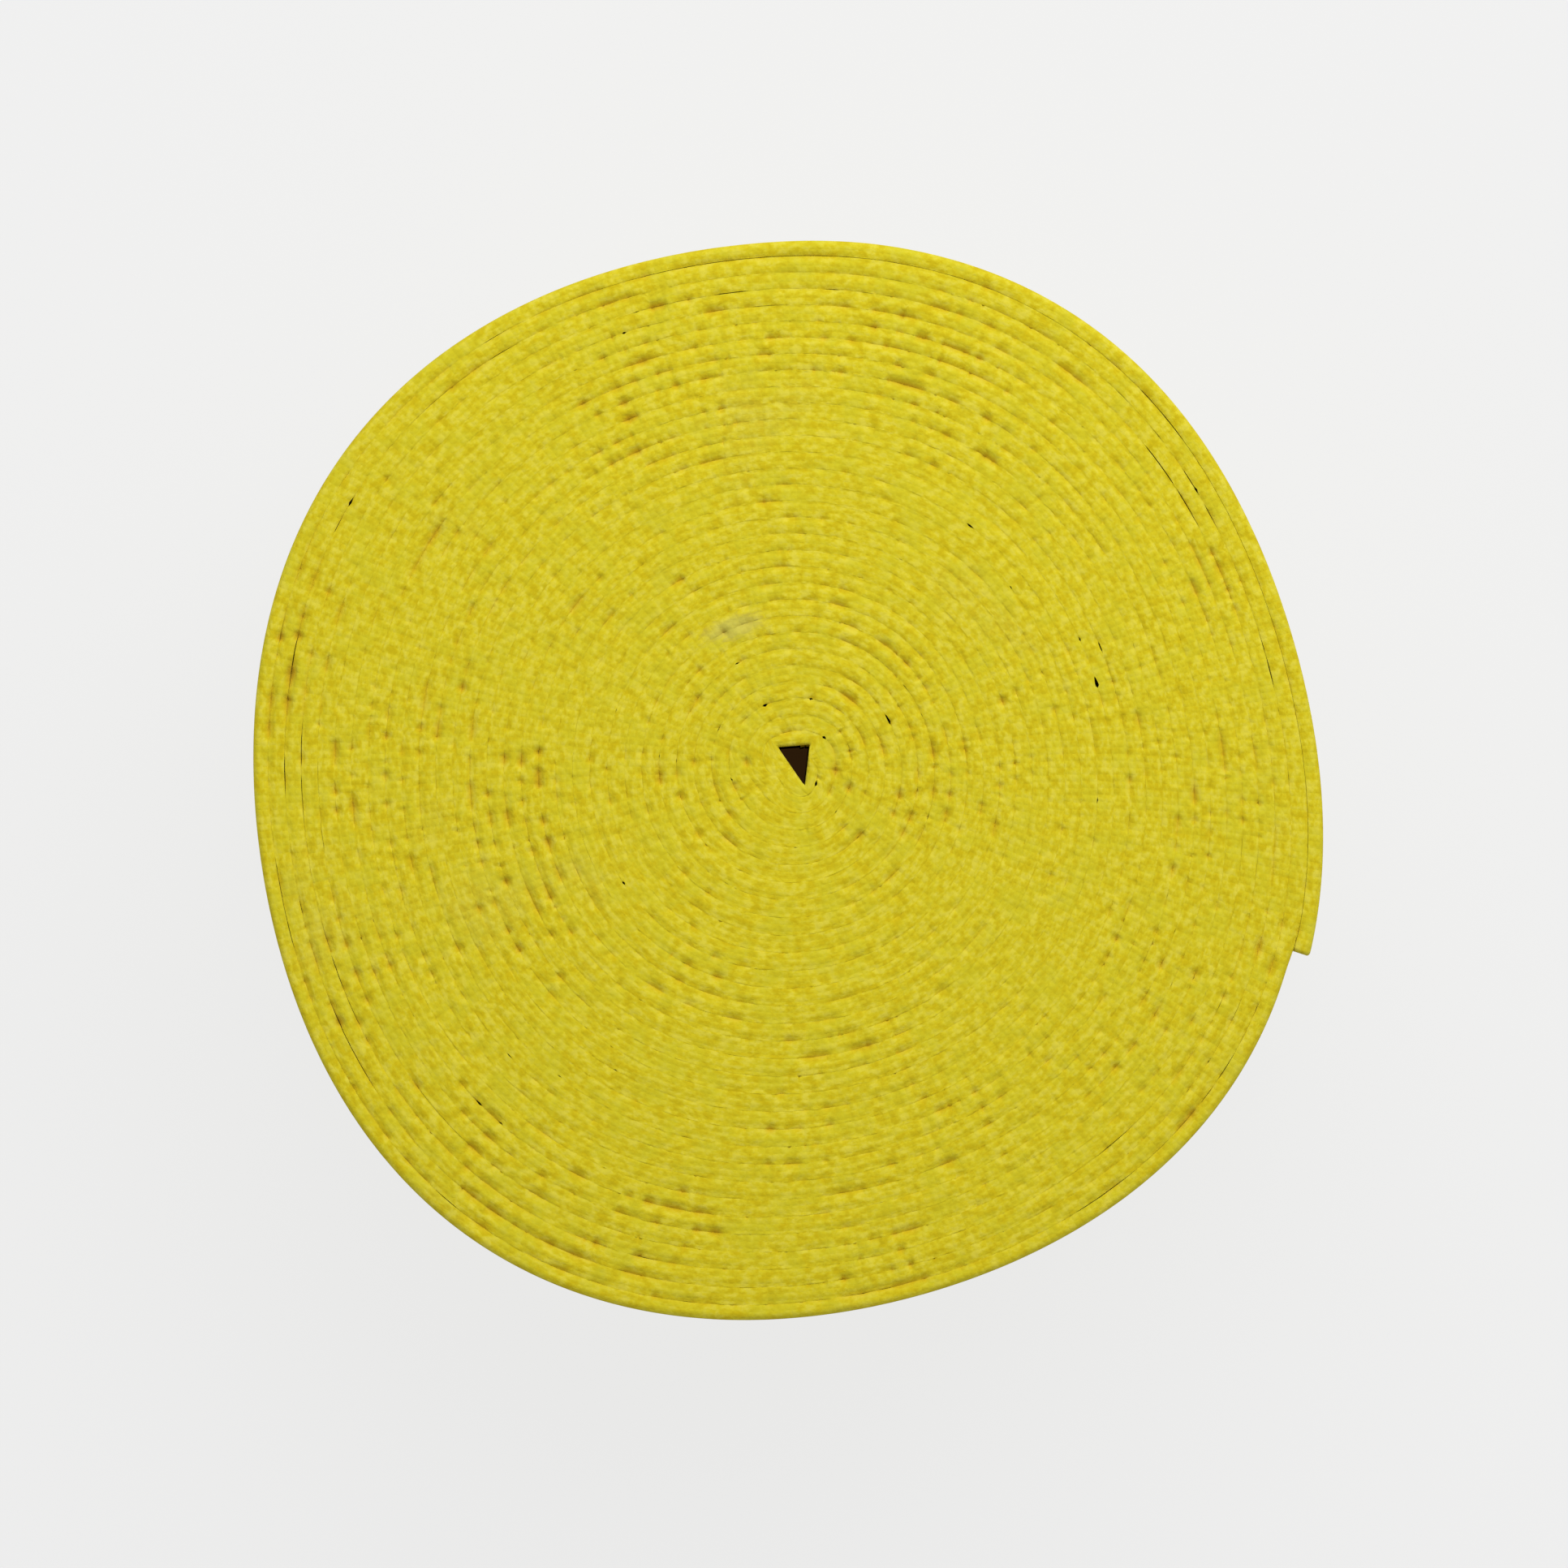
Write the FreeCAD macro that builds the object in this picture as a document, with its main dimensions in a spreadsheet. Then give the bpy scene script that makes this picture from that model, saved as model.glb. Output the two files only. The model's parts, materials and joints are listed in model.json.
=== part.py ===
"""A thin cotton rank belt, wound up flat into a roll that lies on its edges.

The belt is one strip: a cover cloth folded round a core ply, quilted along its length by rows of
lockstitch, and closed by a bar of stitches at each end. The roll's axis is +Z and the origin is the
middle of its outline, on the surface it lies on. The last stretch of the outer turn, the tail, is free
to peel off the roll, so it is cut into short links that hinge on one another.
"""

import FreeCAD, Part
import math
import os
from FreeCAD import Vector

FULL_TURN = 2 * math.pi
ARCS_PER_TURN = 12

# Millimetres, and degrees for what is named an angle or a bearing. Bearings are measured about the
# winding axis from +X towards +Y.
SIZES = {
    # the belt as it is when laid out flat
    "belt_length": 3200.0,
    "belt_width": 40.0,
    "cover_cloth": 0.26,
    "core_cloth": 0.14,
    "core_slack": 0.04,
    "end_hem": 3.0,
    # the rows of lockstitch
    "row_count": 8,
    "row_margin": 2.5,
    "thread_width": 0.26,
    "thread_height": 0.10,
    "thread_sink": 0.05,
    "bar_inset": 4.0,
    # how it is wound
    "turn_gap": 0.26,
    "hole_radius": 0.85,
    "tip_bearing": -20.5,
    # the free tail
    "link_count": 6,
    "link_angle": 20.0,
    "link_cut": 0.10,
    "tail_stand_off": 0.10,
    # the outline's lobes, as shares of its radius, and how fast they fade towards the middle
    "lean_height": 0.050,
    "lean_bearing": 231.0,
    "oval_height": 0.010,
    "oval_bearing": 97.0,
    "egg_height": 0.0045,
    "egg_bearing": -17.0,
    "corner_height": 0.018,
    "corner_bearing": 57.0,
    "corner_fade": 2.0,
    # the three soft corners of the hole at the middle
    "hole_corner": 0.22,
    "hole_bearing": 41.0,
    "hole_fade_turns": 2.0,
}


def make_sheet(doc):
    """The spreadsheet of driving dimensions. Its aliases are the names in SIZES."""
    sheet = doc.addObject("Spreadsheet::Sheet", "Sizes")
    for row, (alias, value) in enumerate(SIZES.items(), start=1):
        sheet.set(f"A{row}", alias)
        sheet.set(f"B{row}", str(value))
        sheet.setAlias(f"B{row}", alias)
    doc.recompute()
    return sheet


class Winding:
    """The line that the middle of the belt's thickness follows, from its inner end to its tip."""

    def __init__(self, sheet):
        for alias in SIZES:
            setattr(self, alias, float(sheet.get(alias)))
        self.half_cavity = self.core_cloth / 2 + self.core_slack
        self.half_belt = self.half_cavity + self.cover_cloth
        self.pitch = 2 * self.half_belt + self.turn_gap
        self.start_radius = self.hole_radius + self.half_belt
        self.end_angle = self.angle_after(self.belt_length)
        self.end_radius = self.start_radius + self.pitch * self.end_angle / FULL_TURN
        self.tail_angle = self.end_angle - math.radians(self.link_count * self.link_angle)
        self.half_cut = self.link_cut / 2 / self.end_radius
        self.pole = Vector(0, 0, 0)
        self.pole = -self.outline_middle()

    def angle_after(self, length):
        """How far the belt has wound, in radians, after that length from its inner end."""
        start = self.start_radius
        return (math.sqrt(start**2 + self.pitch * length / math.pi) - start) * FULL_TURN / self.pitch

    def hinge_angle(self, place):
        """The angle of winding at which a link of the tail starts, counting from 1 at the roll."""
        return self.tail_angle + (place - 1) * math.radians(self.link_angle)

    def radius(self, angle, bearing):
        """Distance from the winding axis to the middle of the belt's thickness."""
        grown = self.start_radius + self.pitch * angle / FULL_TURN
        lean = self.lean_height * math.cos(bearing - math.radians(self.lean_bearing))
        share = grown / self.end_radius
        oval = self.oval_height * share * math.cos(2 * (bearing - math.radians(self.oval_bearing)))
        egg = self.egg_height * share * math.cos(3 * (bearing - math.radians(self.egg_bearing)))
        corners = math.cos(4 * (bearing - math.radians(self.corner_bearing)))
        corners *= self.corner_height * share**self.corner_fade
        hole = math.cos(3 * (bearing - math.radians(self.hole_bearing)))
        hole *= self.hole_corner * math.exp(-angle / FULL_TURN / self.hole_fade_turns)
        rise = min(max((angle - self.tail_angle) / math.radians(self.link_angle), 0), 1)
        stand_off = self.tail_stand_off * rise**2 * (3 - 2 * rise)
        return grown * (1 + lean + oval + egg + corners) + hole + stand_off

    def middle(self, angle):
        """The point in the middle of the belt's thickness at that angle of winding."""
        bearing = math.radians(self.tip_bearing) + self.end_angle - angle
        radius = self.radius(angle, bearing)
        return self.pole + Vector(radius * math.cos(bearing), radius * math.sin(bearing), 0)

    def point(self, angle, offset):
        """The point that lies offset outwards from the middle of the belt's thickness."""
        step = 0.002
        along = (self.middle(angle + step) - self.middle(angle - step)).normalize()
        return self.middle(angle) + Vector(-along.y, along.x, 0) * offset

    def outline_middle(self):
        """The middle of the box round the outermost turn, with the winding axis at the pole."""
        steps = 360
        turn = [self.end_angle - FULL_TURN * i / steps for i in range(steps + 1)]
        rim = [self.point(angle, self.half_belt) for angle in turn]
        across = [p.x for p in rim]
        along = [p.y for p in rim]
        return Vector((min(across) + max(across)) / 2, (min(along) + max(along)) / 2, 0)

    def arcs(self, start, end, offset):
        """The line at that offset, as arcs end to end."""
        count = max(1, math.ceil((end - start) / FULL_TURN * ARCS_PER_TURN))
        step = (end - start) / count
        edges = []
        for i in range(count):
            first = start + i * step
            ends = [self.point(first + share * step, offset) for share in (0, 0.5, 1)]
            edges.append(Part.Arc(*ends).toShape())
        return edges

    def band(self, start, end, inner, outer):
        """A flat face on the XY plane between two offsets, from one angle to another."""
        inside = self.arcs(start, end, inner)
        outside = self.arcs(start, end, outer)
        first = Part.LineSegment(self.point(start, outer), self.point(start, inner)).toShape()
        last = Part.LineSegment(self.point(end, inner), self.point(end, outer)).toShape()
        return Part.Face(Part.Wire([*inside, last, *reversed(outside), first]))


class Belt:
    """Makes the belt's pieces in the document, each one a band of the winding raised along Z."""

    def __init__(self, doc, winding):
        self.doc = doc
        self.winding = winding
        self.nodes = []

    def keep(self, piece, label):
        """Names a finished piece, which is written under that name."""
        piece.Label = label
        self.nodes.append(piece)
        return piece

    def raised(self, name, face, foot, height):
        """The face raised into a solid. foot and height are expressions of the sheet's cells."""
        outline = self.doc.addObject("Part::Feature", name + "_outline")
        outline.Shape = face
        outline.setExpression("Placement.Base.z", foot)
        solid = self.doc.addObject("Part::Extrusion", name + "_solid")
        solid.Base = outline
        solid.DirMode = "Custom"
        solid.Dir = Vector(0, 0, 1)
        solid.Solid = True
        solid.setExpression("LengthFwd", height)
        return solid

    def cover(self, label, start, end, core_start, core_end):
        """The cover cloth, folded over both edges of the cavity that holds the core."""
        w = self.winding
        cloth = w.band(start, end, -w.half_belt, w.half_belt)
        hollow = w.band(core_start, core_end, -w.half_cavity, w.half_cavity)
        cut = self.doc.addObject("Part::Cut", label)
        cut.Base = self.raised(label + "_cloth", cloth, "0 mm", "Sizes.belt_width * 1 mm")
        cut.Tool = self.raised(
            label + "_hollow",
            hollow,
            "Sizes.cover_cloth * 1 mm",
            "(Sizes.belt_width - 2 * Sizes.cover_cloth) * 1 mm",
        )
        return self.keep(cut, label)

    def core(self, label, start, end):
        """The core ply, clear of the cover by the core's slack all round."""
        w = self.winding
        face = w.band(start, end, -w.core_cloth / 2, w.core_cloth / 2)
        foot = "(Sizes.cover_cloth + Sizes.core_slack) * 1 mm"
        height = "(Sizes.belt_width - 2 * (Sizes.cover_cloth + Sizes.core_slack)) * 1 mm"
        return self.keep(self.raised(label, face, foot, height), label)

    def thread_face(self, start, end, side):
        """The flat outline of a line of thread, sunk a little into one face of the belt."""
        w = self.winding
        root = w.half_belt - w.thread_sink
        offsets = sorted([side * root, side * (root + w.thread_height)])
        return w.band(start, end, *offsets)

    def row_foot(self, row):
        """The expression for the lower edge of a row's thread."""
        spacing = "(Sizes.belt_width - 2 * Sizes.row_margin) / (Sizes.row_count - 1)"
        return f"(Sizes.row_margin + {row} * {spacing} - Sizes.thread_width / 2) * 1 mm"

    def thread(self, name, start, end, side, row):
        """One line of thread along the belt, on its outer face (side 1) or inner face (side -1)."""
        face = self.thread_face(start, end, side)
        return self.raised(name, face, self.row_foot(row), "Sizes.thread_width * 1 mm")

    def bar(self, label, angle):
        """The bar of stitches across the belt near an end: a thread on each face."""
        w = self.winding
        half = w.thread_width / 2 / w.radius(angle, math.radians(w.tip_bearing))
        foot = "(Sizes.row_margin - Sizes.thread_width / 2) * 1 mm"
        height = "(Sizes.belt_width - 2 * Sizes.row_margin + Sizes.thread_width) * 1 mm"
        pair = self.doc.addObject("Part::Compound", label)
        pair.Links = [
            self.raised(f"{label}_{place}", self.thread_face(angle - half, angle + half, side), foot, height)
            for place, side in (("outer", 1), ("inner", -1))
        ]
        return self.keep(pair, label)


SIDES = (("needle", 1), ("bobbin", -1))


def build_roll(belt):
    """The wound belt up to the tail's first hinge. Its inner end is closed by a hem."""
    w = belt.winding
    end = w.tail_angle - w.half_cut
    row_start = w.angle_after(w.bar_inset + w.thread_width)
    belt.cover("roll_cover", 0, end, w.angle_after(w.end_hem), w.tail_angle)
    belt.core("roll_core", w.angle_after(w.end_hem + w.core_slack), end)
    for row in range(int(w.row_count)):
        for thread, side in SIDES:
            label = f"{thread}_thread_row_{row + 1}"
            belt.keep(belt.thread(label, row_start, end, side, row), label)
    belt.bar("inner_end_bar_stitch", w.angle_after(w.bar_inset))


def build_tail(belt):
    """The tail's links, from the roll to the tip. The last one is closed by a hem like the inner end."""
    w = belt.winding
    bar_angle = w.angle_after(w.belt_length - w.bar_inset)
    for place in range(1, int(w.link_count) + 1):
        hinge = w.hinge_angle(place)
        start = hinge + w.half_cut
        if place < w.link_count:
            hollow_end = w.hinge_angle(place + 1)
            end = core_end = row_end = hollow_end - w.half_cut
        else:
            end = w.end_angle
            hollow_end = w.angle_after(w.belt_length - w.end_hem)
            core_end = w.angle_after(w.belt_length - w.end_hem - w.core_slack)
            row_end = w.angle_after(w.belt_length - w.bar_inset - w.thread_width)
        belt.cover(f"tail_cover_{place}", start, end, hinge, hollow_end)
        belt.core(f"tail_core_{place}", start, core_end)
        for thread, side in SIDES:
            label = f"tail_{thread}_threads_{place}"
            rows = belt.doc.addObject("Part::Compound", label)
            rows.Links = [
                belt.thread(f"{label}_row_{row + 1}", start, row_end, side, row)
                for row in range(int(w.row_count))
            ]
            belt.keep(rows, label)
    belt.bar("outer_end_bar_stitch", bar_angle)


def check(doc, nodes):
    """Stops the build if any object failed or any node isn't whole."""
    failed = [o.Label for o in doc.Objects if {"Invalid", "Error"} & set(o.State)]
    broken = [n.Label for n in nodes if n.Shape.isNull() or not n.Shape.isValid() or n.Shape.Volume <= 0]
    if failed or broken:
        raise RuntimeError(f"failed objects {failed}, broken nodes {broken}")


def report(winding, nodes):
    """Prints what a reader needs to place joints and mounts."""
    w = winding
    print(f"turns {w.end_angle / FULL_TURN:.3f}, pitch {w.pitch:.3f}, end radius {w.end_radius:.3f}")
    print(f"pole {w.pole.x:.4f} {w.pole.y:.4f}")
    for place in range(1, int(w.link_count) + 1):
        hinge = w.point(w.hinge_angle(place), w.half_belt)
        print(f"hinge {place} at {hinge.x:.4f} {hinge.y:.4f}")
    rest = w.point(w.tail_angle - FULL_TURN / 2, (w.half_belt + w.half_cavity) / 2)
    print(f"rest point {rest.x:.4f} {rest.y:.4f}")
    for node in nodes:
        print(f"{node.Label}: {len(node.Shape.Solids)} solids, {node.Shape.Volume:.2f} mm3")


def main():
    doc = FreeCAD.newDocument("RolledBelt")
    winding = Winding(make_sheet(doc))
    belt = Belt(doc, winding)
    build_roll(belt)
    build_tail(belt)
    doc.recompute()
    check(doc, belt.nodes)
    os.makedirs("parts", exist_ok=True)
    for node in belt.nodes:
        node.Shape.exportStep(f"parts/{node.Label}.step")
    report(winding, belt.nodes)


main()
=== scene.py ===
"""The looks of a cotton rank belt wound into a flat roll: its cloth, its stitches, and the stage round it.

Lengths are in metres and angles in radians unless a name says millimetres or degrees. Bearings are measured
about the winding axis from +X towards +Y. The belt's own coordinates are its length from the inner end and
its height across the width, and a cross-section of it lies in the plane of the winding axis.
"""

import json
import math

import bpy
import numpy as np
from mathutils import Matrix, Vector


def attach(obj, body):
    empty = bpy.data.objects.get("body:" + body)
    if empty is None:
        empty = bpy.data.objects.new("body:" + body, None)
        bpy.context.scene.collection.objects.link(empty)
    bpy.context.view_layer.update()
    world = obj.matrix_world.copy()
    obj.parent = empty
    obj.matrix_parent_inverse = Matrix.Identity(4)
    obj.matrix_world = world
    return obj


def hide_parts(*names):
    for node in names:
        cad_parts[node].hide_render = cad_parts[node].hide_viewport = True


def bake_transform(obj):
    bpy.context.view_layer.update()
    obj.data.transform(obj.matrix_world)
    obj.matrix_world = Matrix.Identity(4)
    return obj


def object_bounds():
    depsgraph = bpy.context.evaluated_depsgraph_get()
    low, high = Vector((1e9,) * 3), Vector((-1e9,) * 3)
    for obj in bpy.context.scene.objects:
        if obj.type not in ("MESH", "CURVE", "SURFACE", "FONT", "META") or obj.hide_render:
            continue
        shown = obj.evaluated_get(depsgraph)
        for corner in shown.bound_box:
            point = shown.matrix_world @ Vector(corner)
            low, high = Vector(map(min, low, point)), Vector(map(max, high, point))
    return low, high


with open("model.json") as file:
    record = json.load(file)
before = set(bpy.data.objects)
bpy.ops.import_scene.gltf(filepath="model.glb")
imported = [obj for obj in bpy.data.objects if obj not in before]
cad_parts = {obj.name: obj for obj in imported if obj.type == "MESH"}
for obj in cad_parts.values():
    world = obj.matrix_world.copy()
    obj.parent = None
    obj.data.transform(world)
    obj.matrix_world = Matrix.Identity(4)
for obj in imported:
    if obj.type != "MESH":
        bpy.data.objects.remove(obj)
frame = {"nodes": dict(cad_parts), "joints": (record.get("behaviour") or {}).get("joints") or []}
cad_low, cad_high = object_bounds()

MM = 0.001
TURN = 2 * math.pi

# The belt and how it is wound, with the frame's own sizes
BELT_LENGTH = 3200 * MM
BELT_WIDTH = cad_high.z - cad_low.z
HALF_BELT = 0.37 * MM
PITCH = 1.0 * MM
START_RADIUS = 1.22 * MM
TIP_BEARING = math.radians(-20.5)
LINK_ANGLE = math.radians(20)
TAIL_STAND_OFF = 0.10 * MM
LEAN = (0.050, math.radians(231))
OVAL = (0.010, math.radians(97))
EGG = (0.0045, math.radians(-17))
CORNERS = (0.018, math.radians(57))
HOLE_LOBES = (0.22 * MM, math.radians(41))
HOLE_FADE_TURNS = 2.0
HINGE_TOLERANCE = 0.05 * MM
# The turn over which the belt's direction is measured, and the least cosine that a distance is divided by
LEAST_TURN = 0.002
LEAST_SHARE = 0.01

# The hole at the middle is pressed into a triangle: how far each side is from the axis, and its bearing
HOLE_SIDES = (
    (1.135 * MM, math.radians(94.6)),
    (0.623 * MM, math.radians(-6.8)),
    (0.309 * MM, math.radians(214.6)),
)
# How much further out than an even winding the first turns lie at these bearings, in degrees
PRESS_BEARINGS = (57, 95, 137, 215, 291, 353)
PRESS = (0.0 * MM, 0.15 * MM, 0.18 * MM, -0.42 * MM, 0.12 * MM, 0.12 * MM)
PRESS_TURNS = 1.5
# The belt goes on further inwards than in the frame, to fill the hole's corners, and thins to its end
INNER_SPARE = 3.0 * MM
INNER_TAPER = 1.2 * MM

# The rows of lockstitch
ROW_COUNT = 8
ROW_MARGIN = 2.5 * MM
ROWS = np.linspace(ROW_MARGIN, BELT_WIDTH - ROW_MARGIN, ROW_COUNT)
STITCH = 3.0 * MM
STITCH_HOLE = 0.3 * MM
BAR_INSET = 4.0 * MM
THREAD_WIDTH = 0.42 * MM
THREAD_HEIGHT = 0.22 * MM
THREAD_SUNK = 0.12 * MM
THREAD_DIP = 0.22 * MM

# How finely the cloth is drawn
EDGE_STEP = 0.15 * MM
FACE_STEP = 0.25 * MM
INNERMOST_STEP = 0.08 * MM
INNERMOST_TURNS = 3
UPPER_POINTS = 11
LOWER_POINTS = 7
ROLL_PIECES = 5

# The length over which the tail would bend at its first hinge, with a whole link's length at the others.
# follow_tail works the bend out but does not bend the tail
FIRST_BEND = 3.0 * MM


def smooth(x):
    """Eases from 0 to 1 as x goes from 0 to 1."""
    x = np.clip(x, 0, 1)
    return x * x * (3 - 2 * x)


def onset(x, first, span):
    """Eases from 0 to 1 as x goes from first over the span."""
    return smooth((x - first) / span)


def above(noise, threshold):
    """Eases from 0 to 1 as the noise goes from the threshold to 1."""
    return onset(noise, threshold, 1 - threshold)


def at_least(floor, share):
    """Goes from the floor to 1 as the share goes from 0 to 1."""
    return floor + (1 - floor) * share


# Smooth noise covers a line of this length and a square of this side, both of which start at NOISE_START
NOISE_START = -0.1
NOISE_LENGTH = 3.6
NOISE_SIDE = 0.2


def wave(seed, at, swell):
    """Smooth noise from -1 to 1 along a line, with a new value every swell."""
    cell = (at - NOISE_START) / swell
    first = np.floor(cell).astype(int)
    values = np.random.default_rng(seed).uniform(-1, 1, int(NOISE_LENGTH / swell))
    share = smooth(cell - first)
    return values[first] * (1 - share) + values[first + 1] * share


def two_waves(at, share, first, second):
    """Two smooth noises added up, the first with that share. Each is a seed and a swell."""
    return share * wave(first[0], at, first[1]) + (1 - share) * wave(second[0], at, second[1])


def patch(seed, spot, swell):
    """Smooth noise from -1 to 1 over a plane, with a new value every swell."""
    cells = int(NOISE_SIDE / swell) + 3
    values = np.random.default_rng(seed).uniform(-1, 1, (cells, cells))
    across, along = (spot[..., 0] - NOISE_START) / swell, (spot[..., 1] - NOISE_START) / swell
    i, j = np.floor(across).astype(int), np.floor(along).astype(int)
    u, v = smooth(across - i), smooth(along - j)
    near = values[i, j] * (1 - u) + values[i + 1, j] * u
    far = values[i, j + 1] * (1 - u) + values[i + 1, j + 1] * u
    return near * (1 - v) + far * v


class Winding:
    """The line that the middle of the belt's thickness follows, hung on the tail's first hinge."""

    def __init__(self, joints):
        self.end_angle = self.angle_after(BELT_LENGTH)
        self.end_radius = START_RADIUS + PITCH * self.end_angle / TURN
        self.tail_angle = self.end_angle - len(joints) * LINK_ANGLE
        self.pole = np.zeros(2)
        self.pole = np.array(joints[0]["pos_m"][:2]) - self.hinge(0)
        for place, joint in enumerate(joints):
            gap = np.linalg.norm(self.hinge(place) - joint["pos_m"][:2])
            if gap > HINGE_TOLERANCE:
                raise ValueError(f"{joint['name']} is {gap / MM:.2f} mm from the winding")

    def angle_after(self, length):
        """How far the belt has wound after that length. A little before its start is allowed."""
        root = np.sqrt(START_RADIUS**2 + PITCH * length / math.pi)
        return (root - START_RADIUS) * TURN / PITCH

    def length_at(self, angle):
        """The length from the inner end at that angle of winding."""
        root = START_RADIUS + PITCH * angle / TURN
        return (root**2 - START_RADIUS**2) * math.pi / PITCH

    def bearing(self, angle):
        return TIP_BEARING + self.end_angle - angle

    def radius(self, angle):
        """Distance from the winding axis to the middle of the belt's thickness."""
        bearing = self.bearing(angle)
        grown = START_RADIUS + PITCH * angle / TURN
        share = grown / self.end_radius
        lean = LEAN[0] * np.cos(bearing - LEAN[1])
        oval = OVAL[0] * share * np.cos(2 * (bearing - OVAL[1]))
        egg = EGG[0] * share * np.cos(3 * (bearing - EGG[1]))
        corners = CORNERS[0] * share**2 * np.cos(4 * (bearing - CORNERS[1]))
        lobes = HOLE_LOBES[0] * np.cos(3 * (bearing - HOLE_LOBES[1]))
        lobes *= np.exp(-np.maximum(angle, 0) / TURN / HOLE_FADE_TURNS)
        stand_off = TAIL_STAND_OFF * smooth((angle - self.tail_angle) / LINK_ANGLE)
        return grown * (1 + lean + oval + egg + corners) + lobes + stand_off

    def place(self, angle, radius):
        """The point on the plane at that angle of winding and distance from the axis."""
        bearing = self.bearing(angle)
        return self.pole + np.stack([radius * np.cos(bearing), radius * np.sin(bearing)], -1)

    def along(self, angle):
        """The direction in which the belt runs towards its tip."""
        step = LEAST_TURN
        after = self.place(angle + step, self.radius(angle + step))
        before = self.place(angle - step, self.radius(angle - step))
        return (after - before) / np.linalg.norm(after - before, axis=-1, keepdims=True)

    def hinge(self, place):
        """Where link number place, from 0, hinges: on the belt's outer face."""
        angle = self.tail_angle + place * LINK_ANGLE
        along = self.along(angle)
        return self.place(angle, self.radius(angle)) + np.array([-along[1], along[0]]) * HALF_BELT

    def hole(self, bearing):
        """Distance from the axis to the edge of the hole at the middle."""
        reach = np.full_like(bearing, np.inf)
        for distance, facing in HOLE_SIDES:
            share = np.cos(bearing - facing)
            reach = np.minimum(reach, distance / np.maximum(share, LEAST_SHARE))
        return reach


winding = Winding(frame["joints"])

# How tight the turns lie. A gap is between two turns, and takes half from each
BASE_GAP = 0.002 * MM
TAIL_GAP = 0.015 * MM
HINGE_GAP = 0.03 * MM
HINGE_GAP_LINKS = 1.3
TAIL_GAP_LINKS = (-0.5, 0.25)
LEAST_THICKNESS = 0.01 * MM
HALF_RIM = 0.39 * MM
BARE_BLEND = 3.0 * MM

# Pits are short gaps, found where the roll is loose and round its middle
PIT_GAP = 0.24 * MM
PIT_NOISE = (12, 0.5 * MM)
PIT_THRESHOLD = 0.90
LOOSE_NOISE = (11, 9.0 * MM)
LOOSE_CONTRAST = 1.5
LOOSE_OFFSET = 0.2
MIDDLE_PITS = 0.7
MIDDLE_TURNS = (4, 4)

# Crevices are long gaps, found mostly between the outermost turns
CREVICE_GAP = 0.06 * MM
CREVICE_NOISE = (13, 3.5 * MM)
CREVICE_THRESHOLD = 0.2
CREVICE_ENDS = (14, 0.8 * MM)
CREVICE_OPENNESS = 0.6
CREVICE_LEAST = 0.05
CREVICE_TURNS = (25, 3)


def bare(angle):
    """0 where another turn covers the belt's outer face, and 1 where none does."""
    past_tip = (angle - winding.end_angle + TURN) * winding.end_radius
    return onset(past_tip, -BARE_BLEND / 2, BARE_BLEND)


def gap(angle):
    """The gap between the belt's outer face at that angle and the next turn out."""
    length = winding.length_at(angle)
    turns = angle / TURN
    spot = winding.place(angle, winding.radius(angle))
    loose = smooth(patch(LOOSE_NOISE[0], spot, LOOSE_NOISE[1]) * LOOSE_CONTRAST - LOOSE_OFFSET)
    middle = 1 - onset(turns, *MIDDLE_TURNS)
    pits = PIT_GAP * above(wave(PIT_NOISE[0], length, PIT_NOISE[1]), PIT_THRESHOLD)
    pits *= np.maximum(loose, MIDDLE_PITS * middle)
    crevices = above(wave(CREVICE_NOISE[0], length, CREVICE_NOISE[1]), CREVICE_THRESHOLD)
    crevices *= smooth(wave(CREVICE_ENDS[0], length, CREVICE_ENDS[1]) + CREVICE_OPENNESS)
    crevices *= CREVICE_GAP * at_least(CREVICE_LEAST, onset(turns, *CREVICE_TURNS))
    links = (angle + TURN - winding.tail_angle) / LINK_ANGLE
    near_hinge = smooth(HINGE_GAP_LINKS - np.abs(links))
    tail = TAIL_GAP * onset(links, *TAIL_GAP_LINKS) + (HINGE_GAP - TAIL_GAP) * near_hinge
    return (BASE_GAP + pits + crevices + tail) * (1 - bare(angle))


def boundary(angle):
    """Distance from the axis to where the belt's outer face at that angle meets the next turn out."""
    bearing = winding.bearing(angle)
    press = np.interp(np.degrees(bearing), PRESS_BEARINGS, PRESS, period=360)
    press = press * np.exp(-np.maximum(angle, 0) / TURN / PRESS_TURNS)
    between = (winding.radius(angle) + winding.radius(angle + TURN)) / 2 + press
    rim = winding.radius(angle) + HALF_RIM
    meeting = between * (1 - bare(angle)) + rim * bare(angle)
    hole = winding.hole(bearing)
    taper = smooth((winding.length_at(angle) + INNER_SPARE) / INNER_TAPER)
    taper = np.where(angle < winding.angle_after(-INNER_SPARE), 0, taper)
    return hole + (np.maximum(meeting, hole) - hole) * taper


def faces(angle):
    """Distances from the axis to the belt's inner and outer faces."""
    inner = boundary(angle - TURN) + gap(angle - TURN) / 2
    outer = boundary(angle) - gap(angle) / 2
    return inner, np.maximum(outer, inner + LEAST_THICKNESS)


# The folded edges. Each edge adds its own seed to those of the noises below, so the two differ
UPPER_SEED = 40
LOWER_SEED = 100

# How far the edges of the turns lie below the highest one, in long and short swells
SAG = 0.06 * MM
SAG_SWELLS = (24.0 * MM, 3.1 * MM)
SAG_SHARE = 0.55

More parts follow.
